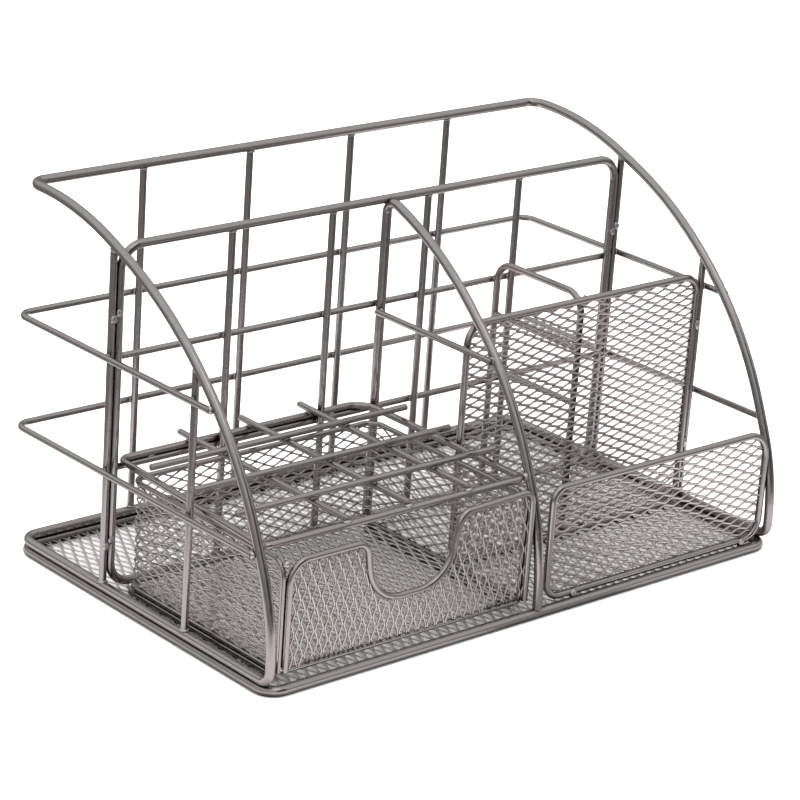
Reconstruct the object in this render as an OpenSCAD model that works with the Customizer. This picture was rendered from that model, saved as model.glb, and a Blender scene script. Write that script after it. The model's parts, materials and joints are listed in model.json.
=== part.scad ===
// Wire-and-mesh desk organizer with a sliding drawer, millimetres, +Z up.
// Origin: centre of the footprint, on the table. The open front faces -Y.
// Layout sizes are measured between wire centres; lay() moves them to that origin.

/* [Overall size] */
// Width between the two side arches
frame_width = 220; // [198:0.5:242]
// Depth from the back wires to the front feet
frame_depth = 133.1; // [120:0.1:146]
// Height of the top rail above the base rim
frame_height = 126.3; // [114:0.1:139]

/* [Wire gauges] */
// Thick wire of the hoop, the foot rail and the middle arch
hoop_wire = 3.2; // [2.8:0.1:3.6]
// Thickest wire, the rim of the base
base_wire = 3.5; // [3:0.1:4]
// Wire of the partition frame
partition_wire = 2.9; // [2.5:0.1:3.2]
// Uprights, posts, the small divider and the panel frames
upright_wire = 2.4; // [2:0.1:2.8]
// Horizontal rails and the rack wires
rail_wire = 2.2; // [1.8:0.1:2.6]
// Wire edging the drawer sides and its floor
drawer_wire = 1.8; // [1.6:0.1:2.1]
// Thickness of an expanded mesh sheet
mesh_thickness = 0.8; // [0.6:0.1:1]

/* [Rails and partition] */
// Height of the rail half way up the back and sides
mid_rail_height = 81.6; // [76:0.1:88]
// Height of the rail low on the back and sides
low_rail_height = 43.2; // [38:0.1:48]
// Distance between neighbouring back uprights
back_pitch = 44.3; // [40:0.1:48]
// Distance from the back wires to the partition
partition_depth = 46.3; // [40:0.1:52]
// Top of the partition frame
partition_top = 117.3; // [110:0.1:118]
// Height of the partition's middle rail
partition_mid = 80.2; // [74:0.1:86]
// Height of the partition's low rail, which carries the rack
partition_low = 42.6; // [38:0.1:46]
// Distance between neighbouring partition uprights
partition_pitch = 41.5; // [38:0.1:44]

/* [Dividers and front panel] */
// Sideways position of the middle arch
middle_x = 1; // [-4:0.1:6]
// Distance from the back wires to the mesh divider
divider_depth = 90.6; // [84:0.1:98]
// Top of the mesh divider
divider_top = 86.3; // [78:0.1:88]
// Sideways position of the small wire divider
pen_divider_x = 54.2; // [44:0.1:64]
// Top of the small wire divider
pen_divider_top = 87; // [78:0.1:90]
// Top of the right front panel
panel_top = 41.4; // [34:0.1:48]
// Left edge of the right front panel
panel_left = 6.5; // [6:0.1:14]

/* [Rack] */
// Height of the rack's edge wire
rack_height = 44.8; // [44.5:0.1:50]
// Distance between neighbouring front-to-back rack wires
cross_pitch = 25; // [22:0.1:28]
// Distance between neighbouring side-to-side rack wires
long_pitch = 22; // [18:0.1:25]

/* [Drawer] */
// Top edge of the drawer
drawer_top = 40.4; // [34:0.1:41]
// Height of the drawer floor
drawer_floor = 4.2; // [4:0.1:6]
// Lowest point of the finger notch
notch_bottom = 19; // [14:0.1:26]
// Width of the finger notch at its bottom
notch_width = 31; // [24:0.5:36]

/* [Hidden] */
$fn = 48;
sink = 0.2;                                   // how far welded wires bite into each other
half_w = frame_width / 2;
back_y = 0;
front_y = -frame_depth;
rail_side = half_w + (upright_wire + rail_wire) / 2 - sink;     // rails run outside the posts
rail_back = back_y + (upright_wire + rail_wire) / 2 - sink;
foot_z = (base_wire + hoop_wire) / 2 - 0.05;  // foot rail lies on the base rim
split_z = foot_z + 4.6;                       // hoop and foot rail meet just above the foot bend
foot_top = foot_z + hoop_wire / 2 - sink;     // posts stand on the foot rail
part_y = -partition_depth;
part_half = half_w - (upright_wire + partition_wire) / 2 - 0.05;
part_bottom = 2.9;
part_foot = part_bottom + partition_wire / 2 - sink;
part_rail_y = part_y + (upright_wire + rail_wire) / 2 - 0.3;
short_post_y = -divider_depth + 0.4;
middle_leg_y = part_rail_y - (rail_wire + hoop_wire) / 2 + 0.4;
middle_rail_x = middle_x - (hoop_wire + rail_wire) / 2 + 0.3;
middle_rail_z = 78.4;
pen_leg_y = part_rail_y - (rail_wire + upright_wire) / 2 + sink;
divider_y = -divider_depth;
divider_left = middle_rail_x + (rail_wire + upright_wire) / 2 - 0.1;
divider_right = half_w - upright_wire + 0.1;
divider_bottom = mesh_thickness / 2 + upright_wire / 2 - 0.1;
pen_front_y = divider_y + upright_wire - 0.1;
panel_y = front_y + 2.3;
panel_right = half_w - (hoop_wire + upright_wire) / 2 + 0.05;
panel_bottom = 2.9;
rack_left = -103.3;
rack_left_front = -107.8;
rack_right = middle_x - (hoop_wire + upright_wire) / 2 + 0.1;
rack_back = part_rail_y + 0.5;
rack_front = -124.2;
cross_z = rack_height + (upright_wire + rail_wire) / 2 - sink;
long_z = cross_z + rail_wire - sink;
front_rim_wire = rail_wire;
drawer_front = -130;
drawer_back = -51;
drawer_left = -103.4;
drawer_right = -2.7;
rim_left = -101.7;
rim_right = -2.2;
notch_x = -52.8;
right_shoulder = drawer_top + 1.2;
runner_wire = 2.6;
runner_z = mesh_thickness / 2 + runner_wire / 2 - 0.1;
mesh_bite = 0.6;                              // how far a mesh sheet reaches into its edge wire

// Shift from the layout frame to the centre of the finished box, standing on the table.
outer_back = rail_back + rail_wire / 2;
outer_front = -frame_depth - hoop_wire / 2;
shift_y = -(outer_back + outer_front) / 2;
shift_z = base_wire / 2;

hoop_color = [0.53, 0.51, 0.50];
wire_color = [0.50, 0.48, 0.47];
mesh_color = [0.62, 0.59, 0.58];
drawer_color = [0.60, 0.56, 0.55];

// ---- helpers -------------------------------------------------------------

function unit(v) = v / norm(v);

// Turn between the directions into and out of a corner.
function turn_at(a, b, c) = acos(max(-1, min(1, unit(b - a) * unit(c - b))));

module lay() { translate([0, shift_y, shift_z]) children(); }

// Straight round rod from point a to point b.
module rod(a, b, d) {
  v = b - a;
  translate(a) rotate([0, acos(v[2] / norm(v)), atan2(v[1], v[0])])
    cylinder(h = norm(v), d = d);
}

// Bend of radius r at corner p, coming in along u and leaving along v.
module bend(p, u, v, r, d) {
  turn = acos(max(-1, min(1, u * v)));
  reach = r * tan(turn / 2);
  n = unit(v - (v * u) * u);
  c = p - u * reach + n * r;
  w = cross(u, n);
  multmatrix([
    [-n[0], u[0], w[0], c[0]],
    [-n[1], u[1], w[1], c[1]],
    [-n[2], u[2], w[2], c[2]],
    [0, 0, 0, 1]])
    rotate_extrude(angle = turn) translate([r, 0]) circle(d = d);
  if (abs(turn - 90) > 0.01) {
    sleeve(p - u * reach, u, d);
    sleeve(p + v * reach, v, d);
  }
}

// A sleeve 0.01 mm proud ties an oblique bend to the next length of wire.
module sleeve(p, u, d) rod(p - u * 0.2, p + u * 0.2, d + 0.02);

// Wire through the corners pts, bent to the radius radii[i] at corner i.
module wire(pts, radii, d, closed = false) {
  n = len(pts);
  first = closed ? 0 : 1;
  last = closed ? n - 1 : n - 2;
  reach = [for (i = [0 : n - 1]) (i < first || i > last) ? 0 :
    radii[i] * tan(turn_at(pts[(i + n - 1) % n], pts[i], pts[(i + 1) % n]) / 2)];
  for (i = [0 : closed ? n - 1 : n - 2]) {
    a = pts[i];
    b = pts[(i + 1) % n];
    u = unit(b - a);
    span = norm(b - a) - reach[i] - reach[(i + 1) % n];
    if (span > 0.01) rod(a + u * reach[i], b - u * reach[(i + 1) % n], d);
  }
  for (i = [first : last]) {
    p = pts[i];
    bend(p, unit(p - pts[(i + n - 1) % n]), unit(pts[(i + 1) % n] - p), radii[i], d);
  }
}

// Tangent corners [y, z] of the quarter ellipse that every arch follows, front foot first.
arch_bends = 4;
arch_half = 45 / arch_bends;
function arch_corner(i) = let (m = (2 * i + 1) * arch_half)
  [-frame_depth * cos(m) / cos(arch_half), frame_height * sin(m) / cos(arch_half)];
function arch_touch(i) = let (t = 2 * i * arch_half)
  [-frame_depth * cos(t), frame_height * sin(t)];
function arch_radius(i, part) = let (
    c = arch_corner(i), p = arch_touch(i), q = arch_touch(i + 1))
  part * min(norm(c - p), norm(q - c)) / tan(turn_at(p, c, q) / 2);

// Height of the arch wire's underside at distance y from the back.
function arch_z(y) = frame_height * sqrt(1 - pow(y / frame_depth, 2));
function arch_under(y) = arch_z(y) - hoop_wire / 2 * sqrt(1 +
  pow(pow(frame_height / frame_depth, 2) * y / arch_z(y), 2));
function arch_y(z) = -frame_depth * sqrt(1 - pow(z / frame_height, 2));

function yz(x, p) = [x, p[0], p[1]];

// Closed rounded frame in an upright plane y, corners: lower left, lower right, upper right, upper left.
module upright_frame(y, x0, z0, x1, z1, radii, d) {
  wire([[x0, y, z0], [x1, y, z0], [x1, y, z1], [x0, y, z1]], radii, d, true);
}

// Flat outline with rounded corners, drawn as plain circles and boxes.
module rounded_plate(x0, y0, x1, y1, r, t) {
  translate([x0 + r, y0, -t / 2]) cube([x1 - x0 - 2 * r, y1 - y0, t]);
  for (x = [x0, x1 - r]) translate([x, y0 + r, -t / 2]) cube([r, y1 - y0 - 2 * r, t]);
  for (x = [x0 + r, x1 - r], y = [y0 + r, y1 - r]) translate([x, y, -t / 2]) cylinder(h = t, r = r);
}

// ---- base ----------------------------------------------------------------

module base_ring() color(hoop_color) lay()
  wire([[-half_w, front_y + 0.2, 0], [half_w, front_y + 0.2, 0], [half_w, 0, 0], [-half_w, 0, 0]],
    [6, 6, 6, 6], base_wire, true);

module base_mesh() color(mesh_color) lay() {
  inset = base_wire / 2 - mesh_bite;
  rounded_plate(-half_w + inset, front_y + 0.2 + inset, half_w - inset, -inset, 5, mesh_thickness);
}

module foot_rail() color(hoop_color) lay()
  wire([[-half_w, front_y, split_z], [-half_w, front_y, foot_z], [-half_w, 0, foot_z],
    [half_w, 0, foot_z], [half_w, front_y, foot_z], [half_w, front_y, split_z]],
    [0, 4, 6, 6, 4, 0], hoop_wire);

// ---- outer hoop, rails and uprights --------------------------------------

// Top rail and both side arches are one bent wire.
module main_hoop() color(hoop_color) lay() {
  side = [for (i = [0 : arch_bends - 1]) arch_corner(i)];
  low_r = (arch_corner(0)[1] - split_z - 0.3) / tan(turn_at(arch_touch(0), arch_corner(0), arch_touch(1)) / 2);
  high_r = (-arch_corner(arch_bends - 1)[0] - 6) /
    tan(turn_at(arch_touch(arch_bends - 1), arch_corner(arch_bends - 1), arch_touch(arch_bends)) / 2);
  radii = [for (i = [0 : arch_bends - 1])
    i == 0 ? low_r : i == arch_bends - 1 ? high_r : arch_radius(i, 0.97)];
  wire(concat([[-half_w, front_y, split_z]], [for (p = side) yz(-half_w, p)],
      [[-half_w, 0, frame_height], [half_w, 0, frame_height]],
      [for (i = [arch_bends - 1 : -1 : 0]) yz(half_w, side[i])], [[half_w, front_y, split_z]]),
    concat([0], radii, [5.5, 5.5], [for (i = [arch_bends - 1 : -1 : 0]) radii[i]], [0]), hoop_wire);
}

module side_rail(z) {
  end_y = arch_y(z) + 1;
  wire([[-rail_side, end_y, z], [-rail_side, rail_back, z], [rail_side, rail_back, z],
    [rail_side, end_y, z]], [0, 5, 5, 0], rail_wire);
}
module back_mid_rail() color(wire_color) lay() side_rail(mid_rail_height);
module back_low_rail() color(wire_color) lay() side_rail(low_rail_height);

module back_upright(i) color(wire_color) lay() {
  x = 1 + (i - 2.5) * back_pitch;
  rod([x, 0, foot_top], [x, 0, frame_height - hoop_wire / 2 + sink], upright_wire);
}

module post(side, y) color(wire_color) lay()
  rod([side * half_w, y, foot_top], [side * half_w, y, arch_under(y) + 0.7], upright_wire);

// ---- partition -----------------------------------------------------------

module partition_frame() color(hoop_color) lay()
  upright_frame(part_y, -part_half, part_bottom, part_half, partition_top, [8, 8, 8, 8], partition_wire);

module partition_rail(z) color(wire_color) lay()
  rod([-part_half, part_rail_y, z], [part_half, part_rail_y, z], rail_wire);

module partition_upright(i) color(wire_color) lay() {
  x = -1.5 + (i - 2.5) * partition_pitch;
  rod([x, part_y, part_foot], [x, part_y, partition_top - partition_wire / 2 + sink], upright_wire);
}

// ---- middle arch and dividers --------------------------------------------

module middle_arch() color(hoop_color) lay() {
  t = arch_touch(arch_bends - 1);
  c = arch_corner(arch_bends - 2);
  crown_z = t[1] + (t[1] - c[1]) / (t[0] - c[0]) * (middle_leg_y - t[0]);
  wire([[middle_x, middle_leg_y, part_foot], [middle_x, middle_leg_y, crown_z],
      yz(middle_x, arch_corner(2)), yz(middle_x, arch_corner(1)), yz(middle_x, arch_corner(0)),
      [middle_x, front_y, base_wire / 2 - sink]],
    [0, 4, arch_radius(2, 0.88), arch_radius(1, 0.97), arch_radius(0, 0.88), 0], hoop_wire);
}

module middle_side_rail() color(wire_color) lay()
  rod([middle_rail_x, middle_leg_y - 1, middle_rail_z],
    [middle_rail_x, arch_y(middle_rail_z) - 0.5, middle_rail_z], rail_wire);

module pen_divider_frame() color(wire_color) lay()
  wire([[pen_divider_x, pen_leg_y, part_foot], [pen_divider_x, pen_leg_y, pen_divider_top],
    [pen_divider_x, pen_front_y, pen_divider_top], [pen_divider_x, pen_front_y, mesh_thickness / 2 - 0.1]],
    [0, 7, 7, 0], upright_wire);

module pen_rung(z) color(wire_color) lay() {
  inset = upright_wire / 2 - sink;
  rod([pen_divider_x, pen_leg_y - inset, z], [pen_divider_x, pen_front_y + inset, z], rail_wire);
}

module mesh_divider_frame() color(wire_color) lay()
  upright_frame(divider_y, divider_left, divider_bottom, divider_right, divider_top, [7, 7, 7, 7], upright_wire);

module mesh_divider_mesh() color(mesh_color) lay() {
  inset = upright_wire / 2 - mesh_bite;
  translate([0, divider_y, 0]) rotate([90, 0, 0])
    rounded_plate(divider_left + inset, divider_bottom + inset, divider_right - inset, divider_top - inset,
      6, mesh_thickness);
}

module front_panel_frame() color(wire_color) lay()
  upright_frame(panel_y, panel_left, panel_bottom, panel_right, panel_top, [6, 7, 9, 4.5], upright_wire);

module front_panel_mesh() color(mesh_color) lay() {
  inset = upright_wire / 2 - mesh_bite;
  translate([0, panel_y, 0]) rotate([90, 0, 0])
    intersection() {
      rounded_plate(panel_left + inset, panel_bottom + inset, panel_right - inset, panel_top - inset,
        4, mesh_thickness);
      // the upper right corner is rounded more than the others
      union() {
        translate([panel_left, panel_bottom, -mesh_thickness])
          cube([panel_right - panel_left - 9, panel_top, 2 * mesh_thickness]);
        translate([panel_left, panel_bottom, -mesh_thickness])
          cube([panel_right - panel_left, panel_top - panel_bottom - 9, 2 * mesh_thickness]);
        translate([panel_right - 9, panel_top - 9, -mesh_thickness])
          cylinder(h = 2 * mesh_thickness, r = 9 - inset);
      }
    }
}

// ---- rack over the drawer ------------------------------------------------

module rack_ring() color(wire_color) lay()
  wire([[rack_left_front, rack_front, rack_height], [rack_right, rack_front, rack_height],
    [rack_right, rack_back, rack_height], [rack_left, rack_back, rack_height]],
    [2.5, 2.5, 8, 4], upright_wire, true);

// Front-to-back wires, with a rounded free end behind the ring.
module rack_cross_wire(i) color(wire_color) lay() {
  x = -50.3 + (i - 2) * cross_pitch;
  y_end = rack_back + 5;
  rod([x, rack_front, cross_z], [x, y_end, cross_z], rail_wire);
  translate([x, y_end, cross_z]) sphere(d = rail_wire);
}

module rack_long_wire(i) color(wire_color) lay() {
  y = -85 - (i - 2) * long_pitch;
  rod([rack_left - 1.7, y, long_z], [rack_right + 2.4, y, long_z], rail_wire);
}

// ---- drawer runners and drawer -------------------------------------------

module runner(x) color(wire_color) lay()
  rod([x, drawer_back - 1, runner_z], [x, rack_front - 1, runner_z], runner_wire);

// Corners [x, z] of the drawer front: up the left edge, round the notch, down the right edge.
notch_lean = 3;
front_outline = [
  [rim_left, drawer_floor], [rim_left, drawer_top],
  [notch_x - notch_width / 2 - notch_lean, drawer_top], [notch_x - notch_width / 2, notch_bottom],
  [notch_x + notch_width / 2, notch_bottom], [notch_x + notch_width / 2 + notch_lean + 1.5, right_shoulder],
  [rim_right, right_shoulder + 0.9], [rim_right, drawer_floor]];
front_bends = [0, 7, 5, 14, 14, 5, 4, 0];

module drawer_front_rim() color(drawer_color) lay()
  wire([for (p = front_outline) [p[0], drawer_front, p[1]]], front_bends, front_rim_wire);

// Stands up beside the front, then runs round the top of the drawer's sides and back.
module drawer_side_rim() color(drawer_color) lay() {
  yl = drawer_front + 1;
  yr = drawer_front + 2;
  wire([[drawer_left, yl, drawer_floor], [drawer_left, yl, drawer_top],
    [drawer_left, drawer_back, drawer_top], [drawer_right, drawer_back, drawer_top],
    [drawer_right, yr, drawer_top], [drawer_right, yr, drawer_floor]],
    [0, 5, 5, 5, 5, 0], drawer_wire);
}

module drawer_bottom_rim() color(drawer_color) lay()
  wire([[drawer_left, drawer_front + 0.6, drawer_floor], [drawer_right, drawer_front + 0.6, drawer_floor],
    [drawer_right, drawer_back, drawer_floor], [drawer_left, drawer_back, drawer_floor]],
    [3, 3, 5, 5], drawer_wire, true);

module drawer_floor_mesh() color(drawer_color) lay() {
  inset = drawer_wire / 2 - 0.4;
  translate([0, 0, drawer_floor])
    rounded_plate(drawer_left + inset, drawer_front + 0.6 + inset, drawer_right - inset, drawer_back - inset,
      3, mesh_thickness);
}

// Flat sheet behind the front rim, with the notch cut out of its top edge.
module drawer_front_mesh() color(drawer_color) lay() {
  inset = front_rim_wire / 2 - mesh_bite;
  bottom = drawer_floor + drawer_wire / 2 - 0.3;
  t = mesh_thickness;
  r_notch = notch_width / 2 + 0.5 + inset;
  translate([0, drawer_front, 0]) rotate([90, 0, 0])
    difference() {
      union() {
        translate([rim_left + inset, bottom, -t / 2])
          cube([notch_x - rim_left, drawer_top - inset - bottom - 6, t]);
        translate([rim_left + inset + 6, bottom, -t / 2])
          cube([notch_x - rim_left - 6, drawer_top - inset - bottom, t]);
        translate([rim_left + inset + 6, drawer_top - inset - 6, -t / 2]) cylinder(h = t, r = 6);
        translate([notch_x, bottom, -t / 2])
          cube([rim_right - inset - notch_x, right_shoulder - inset - bottom - 3, t]);
        translate([notch_x, bottom, -t / 2])
          cube([rim_right - inset - notch_x - 3, right_shoulder - inset - bottom, t]);
        translate([rim_right - inset - 3, right_shoulder - inset - 3, -t / 2]) cylinder(h = t, r = 3);
      }
      translate([notch_x, notch_bottom - inset + r_notch, -t]) cylinder(h = 2 * t, r = r_notch);
      translate([notch_x - r_notch - 1.2, notch_bottom - inset + r_notch, -t])
        cube([2 * r_notch + 3.2, right_shoulder, 2 * t]);
    }
}

// Side sheet with its upper front corner rounded under the rim wire.
module drawer_side_mesh(x, y_front) color(drawer_color) lay() {
  inset = drawer_wire / 2 - 0.4;
  bottom = drawer_floor + 0.5;
  t = mesh_thickness;
  top = drawer_top - inset;
  y0 = y_front + inset;
  y1 = drawer_back - 5;
  r = 4.5;
  translate([x - t / 2, y0, bottom]) cube([t, y1 - y0, top - r - bottom]);
  translate([x - t / 2, y0 + r, bottom]) cube([t, y1 - y0 - r, top - bottom]);
  translate([x - t / 2, y0 + r, top - r]) rotate([0, 90, 0]) cylinder(h = t, r = r);
}

// Back sheet, curved forward at both ends to meet the side sheets.
module drawer_rear_mesh() color(drawer_color) lay() {
  bottom = drawer_floor + 0.5;
  top = drawer_top - drawer_wire / 2 + 0.4;
  t = mesh_thickness;
  r = 5;
  translate([drawer_left + r, drawer_back - t / 2, bottom])
    cube([drawer_right - drawer_left - 2 * r, t, top - bottom]);
  for (s = [0, 1])
    translate([s == 0 ? drawer_left + r : drawer_right - r, drawer_back - r, bottom])
      rotate([0, 0, s == 0 ? 90 : 0])
        rotate_extrude(angle = 90) translate([r - t / 2, 0]) square([t, top - bottom]);
}

// ---- output --------------------------------------------------------------

base_ring();
base_mesh();
foot_rail();
main_hoop();
back_mid_rail();
back_low_rail();
back_upright(1);  // back_upright_1
back_upright(2);  // back_upright_2
back_upright(3);  // back_upright_3
back_upright(4);  // back_upright_4
post(-1, part_y);  // left_side_post
post(1, part_y);  // right_side_post
post(-1, short_post_y);  // left_short_post
post(1, short_post_y);  // right_short_post
partition_frame();
partition_rail(partition_mid);  // partition_mid_rail
partition_rail(partition_low);  // partition_low_rail
partition_upright(1);  // partition_upright_1
partition_upright(2);  // partition_upright_2
partition_upright(3);  // partition_upright_3
partition_upright(4);  // partition_upright_4
middle_arch();
middle_side_rail();
pen_divider_frame();
pen_rung(67.8);  // pen_divider_upper_rung
pen_rung(48.3);  // pen_divider_lower_rung
mesh_divider_frame();
mesh_divider_mesh();
front_panel_frame();
front_panel_mesh();
rack_ring();
rack_cross_wire(1);  // rack_cross_wire_1
rack_cross_wire(2);  // rack_cross_wire_2
rack_cross_wire(3);  // rack_cross_wire_3
rack_long_wire(1);  // rack_long_wire_1
rack_long_wire(2);  // rack_long_wire_2
rack_long_wire(3);  // rack_long_wire_3
runner(drawer_left + 0.8);  // left_runner
runner(drawer_right - 0.8);  // right_runner
drawer_front_rim();
drawer_side_rim();
drawer_bottom_rim();
drawer_floor_mesh();
drawer_front_mesh();
drawer_side_mesh(drawer_left, drawer_front + 1);  // drawer_left_mesh
drawer_side_mesh(drawer_right, drawer_front + 2);  // drawer_right_mesh
drawer_rear_mesh();
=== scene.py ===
"""Looks of the wire-and-mesh desk organizer.

Expanded mesh, weld beads, plated metal, camera, floor and light.
"""

import json
import math
import random

import bpy
from mathutils import Matrix, Vector, noise


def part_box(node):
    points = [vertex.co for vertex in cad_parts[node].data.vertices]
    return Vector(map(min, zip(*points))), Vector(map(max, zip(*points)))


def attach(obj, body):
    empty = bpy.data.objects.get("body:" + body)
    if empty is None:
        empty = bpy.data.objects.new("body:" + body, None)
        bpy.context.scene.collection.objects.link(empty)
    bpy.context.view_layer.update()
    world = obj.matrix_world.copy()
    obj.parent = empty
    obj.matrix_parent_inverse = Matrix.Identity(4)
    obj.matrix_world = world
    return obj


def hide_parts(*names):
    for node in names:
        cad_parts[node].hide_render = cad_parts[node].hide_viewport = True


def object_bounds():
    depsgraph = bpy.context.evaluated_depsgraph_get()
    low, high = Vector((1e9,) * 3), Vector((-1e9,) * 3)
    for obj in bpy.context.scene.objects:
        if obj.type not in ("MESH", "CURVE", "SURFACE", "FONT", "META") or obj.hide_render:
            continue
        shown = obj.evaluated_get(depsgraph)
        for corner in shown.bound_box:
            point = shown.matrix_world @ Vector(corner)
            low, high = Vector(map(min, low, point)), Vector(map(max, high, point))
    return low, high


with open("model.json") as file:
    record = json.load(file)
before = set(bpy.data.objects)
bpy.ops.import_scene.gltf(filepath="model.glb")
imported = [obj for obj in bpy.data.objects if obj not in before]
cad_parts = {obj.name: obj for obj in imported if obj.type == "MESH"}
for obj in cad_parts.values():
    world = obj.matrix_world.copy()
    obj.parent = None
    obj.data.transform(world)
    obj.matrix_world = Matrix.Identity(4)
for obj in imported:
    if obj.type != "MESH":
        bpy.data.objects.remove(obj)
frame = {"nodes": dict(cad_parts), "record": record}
CAD_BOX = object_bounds()
MM = 0.001
NODES = frame["nodes"]
SCENE = bpy.context.scene
X, Y, Z = Vector((1, 0, 0)), Vector((0, 1, 0)), Vector((0, 0, 1))
random.seed(7)


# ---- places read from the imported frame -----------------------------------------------


def box_mm(node):
    """Lowest and highest corner of a node, in millimetres."""
    low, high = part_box(node)
    return low / MM, high / MM


def low_mm(node):
    return box_mm(node)[0]


def high_mm(node):
    return box_mm(node)[1]


def centre_mm(node):
    low, high = box_mm(node)
    return (low + high) / 2


# ---- node helpers --------------------------------------------------------------------


def add(tree, kind, **settings):
    """New node. Each setting is an input's value, or else an attribute of the node."""
    node = tree.nodes.new(kind)
    for key, value in settings.items():
        if key in node.inputs:
            node.inputs[key].default_value = value
        else:
            setattr(node, key, value)
    return node


def feed(tree, node, *values):
    """Put sockets or plain values into a node's first inputs, in order."""
    for socket, value in zip(node.inputs, values):
        if isinstance(value, bpy.types.NodeSocket):
            tree.links.new(value, socket)
        else:
            socket.default_value = value


def math_node(tree, operation, a, b):
    node = add(tree, "ShaderNodeMath", operation=operation)
    feed(tree, node, a, b)
    return node.outputs["Value"]


def vector_math(tree, operation, *vectors):
    """Vector result of an operation on vectors."""
    node = add(tree, "ShaderNodeVectorMath", operation=operation)
    feed(tree, node, *vectors)
    return node.outputs["Vector"]


def scaled(tree, colour, factor):
    """Colour times a value."""
    node = add(tree, "ShaderNodeVectorMath", operation="SCALE")
    feed(tree, node, colour)
    tree.links.new(factor, node.inputs["Scale"])
    return node.outputs["Vector"]


def ramp(tree, source, stops):
    """Colour ramp from a value, with stops of (position, colour)."""
    node = tree.nodes.new("ShaderNodeValToRGB")
    elements = node.color_ramp.elements
    while len(elements) < len(stops):
        elements.new(0.5)
    for element, (position, colour) in zip(elements, stops):
        element.position = position
        element.color = (*colour, 1)
    tree.links.new(source, node.inputs["Fac"])
    return node.outputs["Color"]


def map_range(tree, value, source, target=(0.0, 1.0), **settings):
    """Value mapped from the source range to the target range, and clamped to it."""
    node = add(tree, "ShaderNodeMapRange", **settings)
    feed(tree, node, value, *source, *target)
    return node.outputs["Result"]


def soft_step(tree, value, source, target=(0.0, 1.0)):
    return map_range(tree, value, source, target, interpolation_type="SMOOTHSTEP")


def towards(tree, vector, direction):
    """Cosine of the angle between a unit vector and a fixed direction."""
    node = add(tree, "ShaderNodeVectorMath", operation="DOT_PRODUCT")
    feed(tree, node, vector, Vector(direction).normalized())
    return node.outputs["Value"]


def cone(tree, vector, direction, inner, outer, target=(0.0, 1.0)):
    """Target's second value within inner degrees of a direction, its first from outer on."""
    edges = math.cos(math.radians(outer)), math.cos(math.radians(inner))
    return soft_step(tree, towards(tree, vector, direction), edges, target)


# ---- materials -----------------------------------------------------------------------

# Colours of the plating, as ratios of its tone, and where each stands on the drift noise.
GREY = (1.01, 0.945, 0.93)
MAUVE = (1.08, 0.92, 0.945)
OLIVE = (0.97, 0.945, 0.90)
DRIFT_STOPS = [(0.30, OLIVE), (0.48, GREY), (0.60, GREY), (0.74, MAUVE)]
CREVICE_SHADE_REACH = 0.0025            # metres; a wire closer than this darkens the plating's colour with painted shade
CREVICE_SHADE_OPEN = (0.35, 0.96) # share of open space where the painted shade is darkest, and where there is none
CREVICE_SHADE_LEFT = (0.08, 1.0) # colour that is left at each of the two
GRAIN_RANGE = (0.3, 0.7)    # part of the grain noise that changes the roughness
GRAIN_SPREAD = (0.05, 0.07) # how far it goes below and above the mean roughness


def plated_wire(name, tone, roughness, seed, metallic=1.0):
    """Grey plated steel under clear lacquer.

    The colour drifts a little, and painted shade darkens it in crevices where other wires come
    close. Fine grain changes the roughness, and shallow drawing waves break up the highlights.
    """
    mat = bpy.data.materials.new(name)
    mat.use_nodes = True
    tree = mat.node_tree
    shader = tree.nodes["Principled BSDF"]
    coords = add(tree, "ShaderNodeTexCoord")
    place = add(tree, "ShaderNodeMapping", Location=(seed, seed * 0.7, -seed))
    tree.links.new(coords.outputs["Object"], place.inputs["Vector"])

    def noise_field(**settings):
        node = add(tree, "ShaderNodeTexNoise", **settings)
        tree.links.new(place.outputs["Vector"], node.inputs["Vector"])
        return node.outputs["Fac"]

    drift = noise_field(Scale=38.0, Detail=2.0, Roughness=0.55)
    stops = [(position, tuple(tone * k for k in ratios)) for position, ratios in DRIFT_STOPS]
    # Painted shade: an ambient occlusion node darkens the base colour in crevices, where other
    # surfaces are close.
    nearby = add(tree, "ShaderNodeAmbientOcclusion", samples=6, Distance=CREVICE_SHADE_REACH)
    painted_crevice_shade = map_range(tree, nearby.outputs["AO"], CREVICE_SHADE_OPEN, CREVICE_SHADE_LEFT)
    colour = scaled(tree, ramp(tree, drift, stops), painted_crevice_shade)
    tree.links.new(colour, shader.inputs["Base Color"])
    grain = noise_field(Scale=520.0, Detail=3.0, Roughness=0.6)
    smoothest, roughest = roughness - GRAIN_SPREAD[0], roughness + GRAIN_SPREAD[1]
    rough = map_range(tree, grain, GRAIN_RANGE, (smoothest, roughest))
    tree.links.new(rough, shader.inputs["Roughness"])
    waves = noise_field(Scale=210.0, Detail=2.0, Roughness=0.5)
    bump = add(tree, "ShaderNodeBump", Strength=0.16, Distance=0.0004)
    tree.links.new(waves, bump.inputs["Height"])
    tree.links.new(bump.outputs["Normal"], shader.inputs["Normal"])
    shader.inputs["Metallic"].default_value = metallic
    shader.inputs["Coat Weight"].default_value = 0.25
    shader.inputs["Coat Roughness"].default_value = 0.12
    return mat


THICK = plated_wire("plated_thick_wire", tone=0.42, roughness=0.16, seed=1.0)
THIN = plated_wire("plated_thin_wire", tone=0.42, roughness=0.18, seed=2.3)
MESH = plated_wire("plated_mesh", tone=0.63, roughness=0.24, seed=4.1)
FLAT_MESH = plated_wire("plated_flat_mesh", tone=0.74, roughness=0.24, seed=5.2, metallic=0.85)
WELD = plated_wire("weld_metal", tone=0.62, roughness=0.30, seed=6.4)
SLOT_MATERIAL = {"thick_wire": THICK, "thin_wire": THIN, "mesh": MESH}

for part in frame["record"]["subparts"]:
    obj = NODES[part["node"]]
    material = SLOT_MATERIAL[part["material_slot"]]
    if obj.material_slots:
        for slot in obj.material_slots:
            slot.material = material
    else:
        obj.data.materials.append(material)


# ---- pieces --------------------------------------------------------------------------


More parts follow.
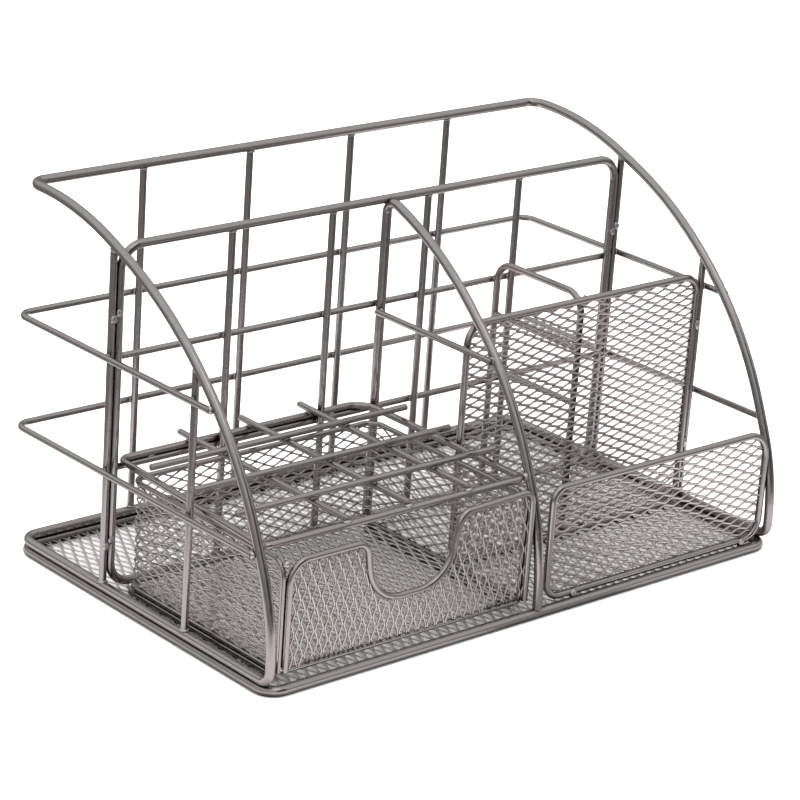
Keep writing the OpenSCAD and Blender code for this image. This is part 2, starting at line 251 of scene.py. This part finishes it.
def make_piece(name, verts, faces, material, body, replaced=()):
    """Smooth-shaded mesh piece from vertices in millimetres."""
    data = bpy.data.meshes.new(name)
    data.from_pydata([Vector(v) * MM for v in verts], [], faces)
    data.validate()
    data.polygons.foreach_set("use_smooth", [True] * len(data.polygons))
    data.materials.append(material)
    obj = bpy.data.objects.new(name, data)
    SCENE.collection.objects.link(obj)
    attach(obj, body)
    if replaced:
        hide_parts(*replaced)
    return obj


# ---- expanded mesh (millimetres and degrees) -----------------------------------------

# Wire gauges of the rims that the sheets are cut to.
BASE_WIRE = 3.5
PANEL_WIRE = 2.4
DRAWER_WIRE = 1.8
NOTCH_WIRE = 2.2

BOND = 0.8              # length of the joint between two strands
WOBBLE = 0.05           # how far a joint strays from its place
LONG_WAY = 7.6          # diamond length, joint to joint
PANEL_LONG_WAY = 7.8
UPRIGHT_SHORT_WAY = 3.53    # diamond width, joint to joint, of the divider and drawer walls
PANEL_SHORT_WAY = 3.75
FLAT_SHORT_WAY = 3.86       # of the base, and of the drawer's floor and front
UPRIGHT_TILT = 18       # how far the strands lean out of the sheet
DRAWER_TILT = 12

# Corner radii, from the corner that is lowest on both axes of the outline and round.
BASE_CORNERS = [6, 6, 6, 6]
DIVIDER_CORNERS = [7, 7, 7, 7]
PANEL_CORNERS = [6, 7, 9, 4.5]
FLOOR_CORNERS = [3, 3, 5, 5]
FRONT_CORNERS = [0, 0, 4, 5, 14, 14, 5, 7]      # the fourth to seventh are the notch
WALL_CORNER = 5         # where the top of a side wall turns down to the drawer front
REAR_CORNER = 5.0       # in the folded strip between the walls

# Strand width along the short way of the diamond, and sheet thickness. The base and
# the drawer floor are flattened, and the drawer's upright sheets have finer strands.
FULL = {"strand": 1.02, "gauge": 0.50}
FLATTENED = {"strand": 0.90, "gauge": 0.28, "tilt": 5}
FINE = {"strand": 0.62, "gauge": 0.50}

# Eight-sided strand section, as fractions of the strand width and the gauge.
SECTION = [(-0.50, -0.20), (-0.50, 0.20), (-0.28, 0.50), (0.28, 0.50),
           (0.50, 0.20), (0.50, -0.20), (0.28, -0.50), (-0.28, -0.50)]

CUT_STEP = 0.35         # how finely a strand is tested against the outline
CUT_HALVINGS = 7        # how often that step is halved to find the cut
SHORTEST_RUN = 0.4      # shorter cut-offs are left out


def rounded_outline(corners, radii, steps=6):
    """Polygon through 2-D corners, each rounded to its radius."""
    points = []
    count = len(corners)
    for i, radius in enumerate(radii):
        p = Vector(corners[i])
        a = (Vector(corners[i - 1]) - p).normalized()
        b = (Vector(corners[(i + 1) % count]) - p).normalized()
        if radius <= 0:
            points.append(p)
            continue
        half = a.angle(b) / 2
        reach = radius / math.tan(half)
        middle = p + (a + b).normalized() * radius / math.sin(half)
        start, end = p + a * reach - middle, p + b * reach - middle
        turn = start.angle_signed(end)
        for k in range(steps + 1):
            angle = -turn * k / steps
            c, s = math.cos(angle), math.sin(angle)
            points.append(middle + Vector((c * start.x - s * start.y, s * start.x + c * start.y)))
    return points


def inside(polygon, point):
    u, v = point[0], point[1]
    hit = False
    q = polygon[-1]
    for p in polygon:
        if (p[1] > v) != (q[1] > v) and u < (q[0] - p[0]) * (v - p[1]) / (q[1] - p[1]) + p[0]:
            hit = not hit
        q = p
    return hit


def edge_crossing(polygon, start, end, start_inside):
    """Last point found on the start's side of the edge, and first one beyond it."""
    for _ in range(CUT_HALVINGS):
        middle = start.lerp(end, 0.5)
        if inside(polygon, middle) == start_inside:
            start = middle
        else:
            end = middle
    return start, end


def spans(polygon, line):
    """Pieces of a polyline that lie inside the polygon, cut where they cross its edge."""
    found, current = [], []
    for a, b in zip(line, line[1:]):
        steps = max(1, int((b[0] - a[0]) / CUT_STEP))
        for k in range(steps):
            p0, p1 = a.lerp(b, k / steps), a.lerp(b, (k + 1) / steps)
            in0, in1 = inside(polygon, p0), inside(polygon, p1)
            if in0 and not current:
                current = [p0]
            if in0 != in1:
                before, beyond = edge_crossing(polygon, p0, p1, in0)
                if in0:
                    found.append(current + [before])
                    current = []
                else:
                    current = [beyond]
            if in1 and k + 1 == steps:
                current.append(p1)
    if len(current) > 1:
        found.append(current)
    return found


def expanded(polygon, place, long_way, short_way, strand, gauge, tilt, skew=0.0,
             phase=(0.0, 0.0)):
    """Strands of expanded metal inside a 2-D outline.

    place(u, v, n) gives the point in millimetres. The diamonds' long way runs along u.
    """
    us = [p[0] for p in polygon]
    vs = [p[1] for p in polygon]
    u0, u1, v0, v1 = min(us), max(us), min(vs), max(vs)
    c, s = math.cos(math.radians(tilt)), math.sin(math.radians(tilt))
    half = short_way / 2
    lift = strand * s / 2
    shift = strand * c / 2
    reach = abs(skew) * (u1 - u0 + v1 - v0)
    # Whole diamonds that cover the outline, with a margin on each side.
    k0 = math.floor((v0 - phase[1]) / half) - 2
    k1 = math.ceil((v1 - phase[1]) / half) + 2
    m0 = math.floor((u0 - phase[0] - reach) / long_way) * 2 - 3
    m1 = math.ceil((u1 - phase[0] + reach) / long_way) * 2 + 3
    verts, faces, joints = [], [], {}

    def stray(level, m):
        """Small random shift shared by the two strands that meet at a joint."""
        if (level, m) not in joints:
            joints[level, m] = [random.uniform(-WOBBLE, WOBBLE) for _ in range(3)]
        return joints[level, m]

    for k in range(k0, k1):
        line = []
        for m in range(m0, m1):
            low = (m + k) % 2 == 0
            level = k if low else k + 1
            du, dv, dn = stray(level, m)
            uc = phase[0] + m * long_way / 2 + du
            vc = phase[1] + level * half + (shift if low else -shift) + dv
            nc = (lift if low else -lift) + dn
            for side in (-1, 1):
                line.append(Vector((uc + side * BOND / 2 + skew * vc, vc, nc)))
        for run in spans(polygon, line):
            if len(run) > 1 and (run[-1] - run[0]).length >= SHORTEST_RUN:
                base = len(verts)
                for p in run:
                    for w, t in SECTION:
                        side, across = w * strand, t * gauge
                        verts.append(place(p.x, p.y + side * c - across * s,
                                           p.z + side * s + across * c))
                faces.extend(tube_faces(base, len(run) - 1, len(SECTION)))
    return verts, faces


def tube_faces(base, last, ring):
    """Sides and end caps of a tube of rings 0 to last, with ring corners in each."""
    sides = []
    for i in range(last):
        for j in range(ring):
            a = base + i * ring + j
            b = base + i * ring + (j + 1) % ring
            sides.append((a, b, b + ring, a + ring))
    start_cap = tuple(base + j for j in reversed(range(ring)))
    end_cap = tuple(base + last * ring + j for j in range(ring))
    return [*sides, start_cap, end_cap]


def flat_sheet(origin, u_axis, v_axis, n_axis):
    """Place function for a flat sheet."""
    o, a, b, c = (Vector(x) for x in (origin, u_axis, v_axis, n_axis))
    return lambda u, v, n: o + a * u + b * v + c * n


def wire_outline(node, wire, axes):
    """Centre-line rectangle of a rim wire, as low and high along two axes."""
    low, high = box_mm(node)
    a, b = axes
    r = wire / 2
    return low[a] + r, low[b] + r, high[a] - r, high[b] - r


def rectangle(a0, b0, a1, b1):
    return [(a0, b0), (a1, b0), (a1, b1), (a0, b1)]


def flip(points):
    """Swap to (v, -u) so that the long way runs along the second axis."""
    return [(p[1], -p[0]) for p in points]


def mesh_piece(name, replaced, body, outline, place, material=MESH, **weave):
    """Expanded-metal piece in place of one plain sheet of the CAD."""
    verts, faces = expanded(outline, place, **weave)
    make_piece(name, verts, faces, material, body, [replaced])


def level_sheet(name, replaced, body, outline, height, phase):
    """Flattened sheet that lies level, with the long way front to back."""
    mesh_piece(name, replaced, body, flip(outline), flat_sheet((0, 0, height), Y, -X, Z),
               material=FLAT_MESH, long_way=LONG_WAY, short_way=FLAT_SHORT_WAY,
               phase=phase, **FLATTENED)


level_sheet("base_expanded_mesh", "base_mesh", "frame",
            rounded_outline(rectangle(*wire_outline("base_ring", BASE_WIRE, (0, 1))),
                            BASE_CORNERS),
            centre_mm("base_mesh").z, phase=(1.0, 0.6))


def upright_sheet(name, replaced, rim, radii, **weave):
    """Sheet that stands in its rim and faces the front, with the long way sideways."""
    outline = rounded_outline(rectangle(*wire_outline(rim, PANEL_WIRE, (0, 2))), radii)
    mesh_piece(name, replaced, "frame", outline,
               flat_sheet((0, centre_mm(rim).y, 0), X, Z, -Y), tilt=UPRIGHT_TILT,
               **weave, **FULL)


upright_sheet("divider_expanded_mesh", "mesh_divider_mesh", "mesh_divider_frame",
              radii=DIVIDER_CORNERS, long_way=LONG_WAY, short_way=UPRIGHT_SHORT_WAY,
              phase=(0.4, 1.1))
upright_sheet("panel_expanded_mesh", "front_panel_mesh", "front_panel_frame",
              radii=PANEL_CORNERS, long_way=PANEL_LONG_WAY, short_way=PANEL_SHORT_WAY,
              skew=-0.2, phase=(2.0, 0.5))

floor_z = centre_mm("drawer_bottom_rim").z
level_sheet("drawer_floor_expanded_mesh", "drawer_floor_mesh", "drawer",
            rounded_outline(rectangle(*wire_outline("drawer_bottom_rim", DRAWER_WIRE, (0, 1))),
                            FLOOR_CORNERS),
            floor_z, phase=(0.0, 0.2))

# Drawer front, cut to the rim with its finger notch: long way upright.
FRONT_LIFT = 0.6        # from the foot of the rim up to the sheet's lower edge
SHOULDER_STEP = 1.2     # the right shoulder of the drawer front stands higher than the left
RIGHT_RISE = 0.9        # and its top wire climbs towards the right
NOTCH_PLACE = 48.9      # from the left side to the middle of the notch
NOTCH_WIDTH = 31.0
NOTCH_LEAN = 3.0
NOTCH_LEAN_RIGHT = 4.5
NOTCH_DEPTH = 21.4      # from the left shoulder down to the bottom of the notch
left, _, right, top_right = wire_outline("drawer_front_rim", NOTCH_WIRE, (0, 2))
shoulder = top_right - RIGHT_RISE
top = shoulder - SHOULDER_STEP
bottom = low_mm("drawer_front_rim").z + FRONT_LIFT
notch_x = left + NOTCH_PLACE
notch_left, notch_right = notch_x - NOTCH_WIDTH / 2, notch_x + NOTCH_WIDTH / 2
front_outline = rounded_outline(
    [(left, bottom), (right, bottom), (right, top_right),
     (notch_right + NOTCH_LEAN_RIGHT, shoulder), (notch_right, top - NOTCH_DEPTH),
     (notch_left, top - NOTCH_DEPTH), (notch_left - NOTCH_LEAN, top), (left, top)],
    FRONT_CORNERS)
mesh_piece("drawer_front_expanded_mesh", "drawer_front_mesh", "drawer", flip(front_outline),
           flat_sheet((0, centre_mm("drawer_front_rim").y, 0), Z, -X, -Y),
           long_way=LONG_WAY, short_way=FLAT_SHORT_WAY, tilt=-DRAWER_TILT, skew=0.05,
           phase=(1.3, 0.2), **FINE)

# Drawer walls: one strip round the left side, the back and the right side.
WALL_GAP = 1            # the right wall ends this far behind the left wall's front edge
wall_left, wall_front, wall_right, wall_back = wire_outline("drawer_side_rim", DRAWER_WIRE, (0, 1))
wall_top = wire_outline("drawer_side_rim", DRAWER_WIRE, (0, 2))[3]
side_length = wall_back - REAR_CORNER - wall_front
quarter = math.pi / 2 * REAR_CORNER
back_length = wall_right - wall_left - 2 * REAR_CORNER
strip_length = 2 * side_length + 2 * quarter + back_length


def wall_point(s, v, n):
    """Point of the strip at distance s from its left front edge, n towards the inside."""
    if s <= side_length:
        return Vector((wall_left + n, wall_front + s, v))
    s -= side_length
    if s <= quarter:
        a, r = s / REAR_CORNER, REAR_CORNER - n
        return Vector((wall_left + REAR_CORNER - r * math.cos(a),
                       wall_back - REAR_CORNER + r * math.sin(a), v))
    s -= quarter
    if s <= back_length:
        return Vector((wall_left + REAR_CORNER + s, wall_back - n, v))
    s -= back_length
    if s <= quarter:
        a, r = s / REAR_CORNER, REAR_CORNER - n
        return Vector((wall_right - REAR_CORNER + r * math.sin(a),
                       wall_back - REAR_CORNER + r * math.cos(a), v))
    s -= quarter
    return Vector((wall_right - n, wall_back - REAR_CORNER - s, v))


for name, replaced, start, end, radii in [
    ("drawer_left_expanded_mesh", "drawer_left_mesh",
     0, side_length, [0, 0, 0, WALL_CORNER]),
    ("drawer_rear_expanded_mesh", "drawer_rear_mesh",
     side_length, strip_length - side_length, [0, 0, 0, 0]),
    ("drawer_right_expanded_mesh", "drawer_right_mesh",
     strip_length - side_length, strip_length - WALL_GAP, [0, 0, WALL_CORNER, 0]),
]:
    mesh_piece(name, replaced, "drawer",
               rounded_outline(rectangle(start, floor_z, end, wall_top), radii), wall_point,
               long_way=LONG_WAY, short_way=UPRIGHT_SHORT_WAY, tilt=DRAWER_TILT,
               phase=(0.7, 0.9), **FINE)


# ---- weld beads (millimetres) --------------------------------------------------------

# Half sizes of each kind of bead: sideways, front to back, up.
BEADS = {
    "upright crossing": (1.5, 0.7, 1.3),
    "upright end": (1.5, 1.5, 0.8),
    "post foot": (1.6, 1.8, 0.8),
    "post top": (1.5, 1.7, 1.0),
    "post crossing": (0.7, 1.4, 1.2),
    "rail end": (1.1, 1.4, 1.4),
    "partition rail end": (1.5, 0.8, 1.3),
    "partition side": (1.5, 0.9, 1.6),
    "divider side": (1.4, 0.8, 1.9),
    "panel foot": (1.6, 1.2, 1.9),
    "cross wire front": (1.6, 1.2, 0.9),
    "cross wire back": (1.5, 1.2, 0.8),
    "rack crossing": (1.3, 1.3, 0.6),
    "rack back": (1.7, 0.9, 0.8),
    "rack corner": (1.3, 1.5, 1.5),
    "side rail back": (0.8, 1.3, 1.4),
    "side rail front": (0.8, 1.4, 1.4),
    "side rail middle": (0.7, 1.2, 1.3),
    "arch top": (1.8, 1.2, 1.2),
    "arch leg": (1.6, 0.7, 1.3),
    "pen divider back": (1.4, 0.7, 1.2),
    "pen divider front": (1.3, 0.7, 1.2),
    "rung end": (1.3, 0.8, 1.3),
    "runner": (1.7, 1.9, 0.8),
    "drawer top": (1.2, 1.2, 1.2),
    "drawer foot": (1.2, 1.1, 1.2),
}
PARTITION_SPOTS = ((-1, 96.7), (-1, 19.8), (1, 92.7))   # side, height
DIVIDER_SPOTS = (69.8, 25.8)        # height
PANEL_SPOTS = (18.5, 98.5)          # sideways
RACK_SPOTS = (-91, -46, -16)        # sideways
RUNNER_SPOTS = (10.7, -44.3)        # front to back
BEAD_SWELL = 0.94           # size of a bead's even part, as a share of the half sizes
BROAD_LUMPS = (1.6, 0.20)   # scale and height of the noise on it
SMALL_LUMPS = (2.7, 0.10)   # its scale is a multiple of the broad one
SEED_STEP = 0.37            # keeps the lumps of each bead different


def bead(verts, faces, centre, size, rings=9, sectors=14):
    """Lumpy rounded bead of the given half sizes, added to a piece being built."""
    base = len(verts)
    centre, seed = Vector(centre), len(verts) * SEED_STEP
    broad, broad_height = BROAD_LUMPS
    small, small_height = SMALL_LUMPS
    for i in range(rings + 1):
        for j in range(sectors if 0 < i < rings else 1):
            polar, around = math.pi * i / rings, math.tau * j / sectors
            out = Vector((math.sin(polar) * math.cos(around),
                          math.sin(polar) * math.sin(around), math.cos(polar)))
            shape = out * broad + Vector((seed, 0, -seed))
            swell = (BEAD_SWELL + broad_height * noise.noise(shape)
                     + small_height * noise.noise(shape * small))
            verts.append(centre + Vector(a * b * swell for a, b in zip(out, size)))
    last = len(verts) - 1

    def at(i, j):
        return base + 1 + (i - 1) * sectors + j % sectors

    for j in range(sectors):
        faces.append((base, at(1, j), at(1, j + 1)))
        faces.append((last, at(rings - 1, j + 1), at(rings - 1, j)))
        for i in range(1, rings - 1):
            faces.append((at(i, j), at(i + 1, j), at(i + 1, j + 1), at(i, j + 1)))


def make_beads(name, body, places):
    """One piece of beads from (place, kind) pairs. A bead's lumps follow from its order."""
    verts, faces = [], []
    for place, kind in places:
        bead(verts, faces, place, BEADS[kind])
    make_piece(name, verts, faces, WELD, body)


# The small steps from a wire's middle or face seat each bead in the corner that it fills.
RAILS = ("back_mid_rail", "back_low_rail")
rail_heights = [centre_mm(rail).z for rail in RAILS]
part_heights = [centre_mm("partition_mid_rail").z, centre_mm("partition_low_rail").z]
part_face = low_mm("partition_mid_rail").y
part_y = centre_mm("partition_frame").y
part_x = high_mm("partition_frame").x
divider_y = centre_mm("mesh_divider_frame").y


def upright_beads():
    for i in range(1, 5):
        back, front = f"back_upright_{i}", f"partition_upright_{i}"
        for z in rail_heights:
            yield (centre_mm(back).x, high_mm(back).y, z), "upright crossing"
        for z in part_heights:
            yield (centre_mm(front).x, part_face + 0.1, z), "upright crossing"
        for upright in (back, front):
            middle = centre_mm(upright)
            yield (middle.x, middle.y, high_mm(upright).z - 0.2), "upright end"
            yield (middle.x, middle.y, low_mm(upright).z + 0.2), "upright end"


def side_beads():
    post_x = centre_mm("right_side_post").x
    for side, hand in ((-1, "left"), (1, "right")):
        for post in (f"{hand}_side_post", f"{hand}_short_post"):
            y = centre_mm(post).y
            yield (side * post_x, y, low_mm(post).z + 0.2), "post foot"
            yield (side * post_x, y - 0.5, high_mm(post).z - 0.6), "post top"
            for z in rail_heights:
                yield (side * (post_x + 1.1), y, z), "post crossing"
        for rail, z in zip(RAILS, rail_heights):
            yield (side * (post_x + 1.9), low_mm(rail).y + 0.3, z), "rail end"
        for z in part_heights:
            yield (side * (part_x - 1.3), part_face, z), "partition rail end"
    for side, z in PARTITION_SPOTS:
        x = side * part_x
        yield (x - 1.0, part_y - 0.9, z - 0.9), "partition side"
        yield (x + 0.9, part_y - 0.9, z + 0.9), "partition side"


def panel_beads():
    for z in DIVIDER_SPOTS:
        yield (high_mm("mesh_divider_frame").x, divider_y - 0.9, z), "divider side"
    panel_y, panel_foot = centre_mm("front_panel_frame").y, low_mm("front_panel_frame").z
    for x in PANEL_SPOTS:
        yield (x, panel_y - 0.9, panel_foot + 0.6), "panel foot"


def rack_beads():
    low, high = box_mm("rack_ring")
    cross_foot = low_mm("rack_cross_wire_1").z
    long_foot = low_mm("rack_long_wire_1").z
    for i in range(1, 4):
        x = centre_mm(f"rack_cross_wire_{i}").x
        yield (x, low.y + 1.1, cross_foot), "cross wire front"
        yield (x, high.y - 1.2, cross_foot), "cross wire back"
        for j in range(1, 4):
            yield (x, centre_mm(f"rack_long_wire_{j}").y, long_foot), "rack crossing"
    for x in RACK_SPOTS:
        yield (x, part_face + 1.2, high_mm("partition_low_rail").z), "rack back"
    for x in (high.x, low.x):
        yield (x, low.y + 1.4, high.z - 1.0), "rack corner"


def middle_beads():
    low, high = box_mm("middle_side_rail")
    rail_x, rail_z = high.x - 0.1, centre_mm("middle_side_rail").z
    yield (rail_x, high.y - 1.0, rail_z), "side rail back"
    yield (rail_x, low.y + 1.0, rail_z), "side rail front"
    yield (rail_x, divider_y, rail_z), "side rail middle"
    arch_x, pen_x = centre_mm("middle_arch").x, centre_mm("pen_divider_frame").x
    yield (arch_x, part_y - 0.6, high_mm("partition_frame").z - 2.4), "arch top"
    for z in part_heights:
        yield (arch_x, part_face, z), "arch leg"
        yield (pen_x, part_face, z), "pen divider back"
    divider_high = high_mm("mesh_divider_frame")
    yield (pen_x, divider_high.y, divider_high.z - 1.2), "pen divider front"
    for rung in ("pen_divider_upper_rung", "pen_divider_lower_rung"):
        for y in (low_mm(rung).y + 0.1, high_mm(rung).y - 0.1):
            yield (pen_x, y, centre_mm(rung).z), "rung end"
    for runner in ("left_runner", "right_runner"):
        for y in RUNNER_SPOTS:
            yield (centre_mm(runner).x, y, low_mm(runner).z + 0.3), "runner"


def drawer_beads():
    low, high = box_mm("drawer_side_rim")
    y = centre_mm("drawer_front_rim").y + 0.7
    for x in (low.x + 1.6, high.x - 0.4):
        yield (x, y, high.z - 1.4), "drawer top"
        yield (x, y, floor_z + 0.9), "drawer foot"


make_beads("weld_beads_frame", "frame",
           [*upright_beads(), *side_beads(), *panel_beads(), *rack_beads(), *middle_beads()])
make_beads("weld_beads_drawer", "drawer", drawer_beads())


# ---- camera (metres) -----------------------------------------------------------------

VIEW_AZIMUTH = math.radians(-42.0)
VIEW_ELEVATION = math.radians(20.284)
VIEW_ROLL = math.radians(4.07)
EYE = Vector((-0.64387, -0.71001, 0.40813))

towards_eye = Vector((math.sin(VIEW_AZIMUTH) * math.cos(VIEW_ELEVATION),
                      -math.cos(VIEW_AZIMUTH) * math.cos(VIEW_ELEVATION),
                      math.sin(VIEW_ELEVATION)))
level_right = Vector((math.cos(VIEW_AZIMUTH), math.sin(VIEW_AZIMUTH), 0))
level_up = towards_eye.cross(level_right)
right_axis = level_right * math.cos(VIEW_ROLL) + level_up * math.sin(VIEW_ROLL)
up_axis = level_up * math.cos(VIEW_ROLL) - level_right * math.sin(VIEW_ROLL)
turned = Matrix((right_axis, up_axis, towards_eye)).transposed().to_4x4()
lens = bpy.data.cameras.new("camera")
lens.lens = 137.47
lens.sensor_width = 36
lens.clip_start = 0.01
camera = bpy.data.objects.new("camera", lens)
camera.matrix_world = Matrix.Translation(EYE) @ turned
SCENE.collection.objects.link(camera)
SCENE.camera = camera
SCENE.view_settings.view_transform = "Standard"

# ---- floor (metres) ------------------------------------------------------------------

FLOOR_HALF = 4
FLOOR_DROP = 0.00005                # keeps it just clear of the base rim
FLOOR_PALE = (0.93, 0.925, 0.92, 1)
# Painted light on the mirrored floor: bright near the object, dim far from it.
MIRRORED_NEAR = (0.56, 0.532, 0.524)
MIRRORED_FAR = (0.125, 0.119, 0.117)
# Painted shadow: the mirrored floor is dark under the object's footprint.
MIRRORED_UNDER_SHADOW = (0.10, 0.095, 0.092, 1)
FADE = (0.15, 0.27)                 # distance from the middle where near turns to far
UNDER_SHADOW_EDGE = (0.90, 1.10)           # share of the footprint where the painted shadow under the object turns to near
# A dark gap between two big side lights, in front of the object and a little to its right.
GAP_HEADING = (0.15, -0.97, 0)
GAP_INNER, GAP_OUTER = 17, 27       # degrees
GAP_ON_FLOOR = 0.45                 # share of the mirrored floor's colour left in the painted dark gap

floor_data = bpy.data.meshes.new("floor")
floor_data.from_pydata([(x, y, 0) for x, y in rectangle(-FLOOR_HALF, -FLOOR_HALF,
                                                        FLOOR_HALF, FLOOR_HALF)],
                       [], [(0, 1, 2, 3)])
floor = bpy.data.objects.new("floor", floor_data)
floor.location.z = -FLOOR_DROP
SCENE.collection.objects.link(floor)
floor_mat = bpy.data.materials.new("pale_floor")
floor_mat.use_nodes = True
tree = floor_mat.node_tree
tree.nodes.clear()
pale = add(tree, "ShaderNodeBsdfDiffuse", Color=FLOOR_PALE)
# The wires mirror painted light in the floor's colour for glossy rays: bright close to the object,
# dimmer further out, with a painted dark gap in front and a painted shadow under it.
mirrored = add(tree, "ShaderNodeBsdfDiffuse")
point = add(tree, "ShaderNodeTexCoord").outputs["Object"]
distance = add(tree, "ShaderNodeVectorMath", operation="LENGTH")
tree.links.new(point, distance.inputs[0])
fade = soft_step(tree, distance.outputs["Value"], FADE)
table = ramp(tree, fade, [(0.0, MIRRORED_NEAR), (1.0, MIRRORED_FAR)])
# Painted dark gap on the mirrored floor, in front of the object.
wedge = cone(tree, vector_math(tree, "NORMALIZE", point), GAP_HEADING, GAP_INNER, GAP_OUTER,
             (1.0, GAP_ON_FLOOR))
share = vector_math(tree, "DIVIDE", point, (CAD_BOX[1][0], CAD_BOX[1][1], 1))
split = add(tree, "ShaderNodeSeparateXYZ")
tree.links.new(vector_math(tree, "ABSOLUTE", share), split.inputs[0])
widest = math_node(tree, "MAXIMUM", split.outputs["X"], split.outputs["Y"])
# Painted shadow under the footprint, mixed into the mirrored floor's colour.
shade = add(tree, "ShaderNodeMix", data_type="RGBA")
tree.links.new(soft_step(tree, widest, UNDER_SHADOW_EDGE), shade.inputs["Factor"])
# A Mix node has its colour inputs at 6 and 7, and its colour output at 2.
shade.inputs[6].default_value = MIRRORED_UNDER_SHADOW
tree.links.new(scaled(tree, table, wedge), shade.inputs[7])
tree.links.new(shade.outputs[2], mirrored.inputs["Color"])
path = add(tree, "ShaderNodeLightPath")
mix = add(tree, "ShaderNodeMixShader")
feed(tree, mix, path.outputs["Is Glossy Ray"], pale.outputs[0], mirrored.outputs[0])
out = add(tree, "ShaderNodeOutputMaterial")
tree.links.new(mix.outputs[0], out.inputs["Surface"])
floor_data.materials.append(floor_mat)

# ---- light ---------------------------------------------------------------------------

# Soft light that falls on the object: even, and stronger from above.
TOP_LIGHT = ((-0.35, -0.15, 0.92), 25, 60)      # direction, inner and outer angle
TOP_STRENGTH = 3.7
# What the wires mirror: dim walls, a paler ceiling, one soft light overhead, the gap
# between the side lights and a dimmer corner behind the object.
WALL_STRENGTH = 0.40
CEILING_STRENGTH = 0.46
CEILING_RISE = (0.10, 0.55)                     # sine of the height where it comes in
STRIP = ((0.0, -0.5, 0.86), 6, 18)
STRIP_STRENGTH = 0.8
REAR = ((0.62, 0.72, 0.2), 18, 36)
REAR_LOSS = 0.35
GAP_LOSS = 0.8
GAP_TOP = (0.55, 0.8)                           # sine of the height where the gap ends

world = bpy.data.worlds.new("studio")
SCENE.world = world
world.use_nodes = True
tree = world.node_tree
tree.nodes.clear()
ray = add(tree, "ShaderNodeTexCoord").outputs["Generated"]
heading = vector_math(tree, "NORMALIZE", vector_math(tree, "MULTIPLY", ray, (1, 1, 0)))
height = towards(tree, ray, Z)


def product(a, b):
    return math_node(tree, "MULTIPLY", a, b)


def total(a, b):
    return math_node(tree, "ADD", a, b)


def dimmed(light, mask, loss):
    """Light with a share lost where the mask is 1."""
    return product(light, math_node(tree, "SUBTRACT", 1.0, product(mask, loss)))


below_top = math_node(tree, "SUBTRACT", 1.0, soft_step(tree, height, GAP_TOP))
gap = product(cone(tree, heading, GAP_HEADING, GAP_INNER, GAP_OUTER), below_top)
falling = total(1.0, product(cone(tree, ray, *TOP_LIGHT), TOP_STRENGTH))
seen = total(WALL_STRENGTH, product(soft_step(tree, height, CEILING_RISE), CEILING_STRENGTH))
seen = total(seen, product(cone(tree, ray, *STRIP), STRIP_STRENGTH))
seen = dimmed(seen, gap, GAP_LOSS)
seen = dimmed(seen, cone(tree, ray, *REAR), REAR_LOSS)
path = add(tree, "ShaderNodeLightPath")
blend = add(tree, "ShaderNodeMix", data_type="FLOAT")
tree.links.new(path.outputs["Is Glossy Ray"], blend.inputs["Factor"])
tree.links.new(falling, blend.inputs["A"])
tree.links.new(seen, blend.inputs["B"])
sky = add(tree, "ShaderNodeBackground")
tree.links.new(blend.outputs["Result"], sky.inputs["Strength"])
white = add(tree, "ShaderNodeBackground", Strength=1.0)
mix = add(tree, "ShaderNodeMixShader")
feed(tree, mix, path.outputs["Is Camera Ray"], sky.outputs[0], white.outputs[0])
out = add(tree, "ShaderNodeOutputWorld")
tree.links.new(mix.outputs[0], out.inputs["Surface"])
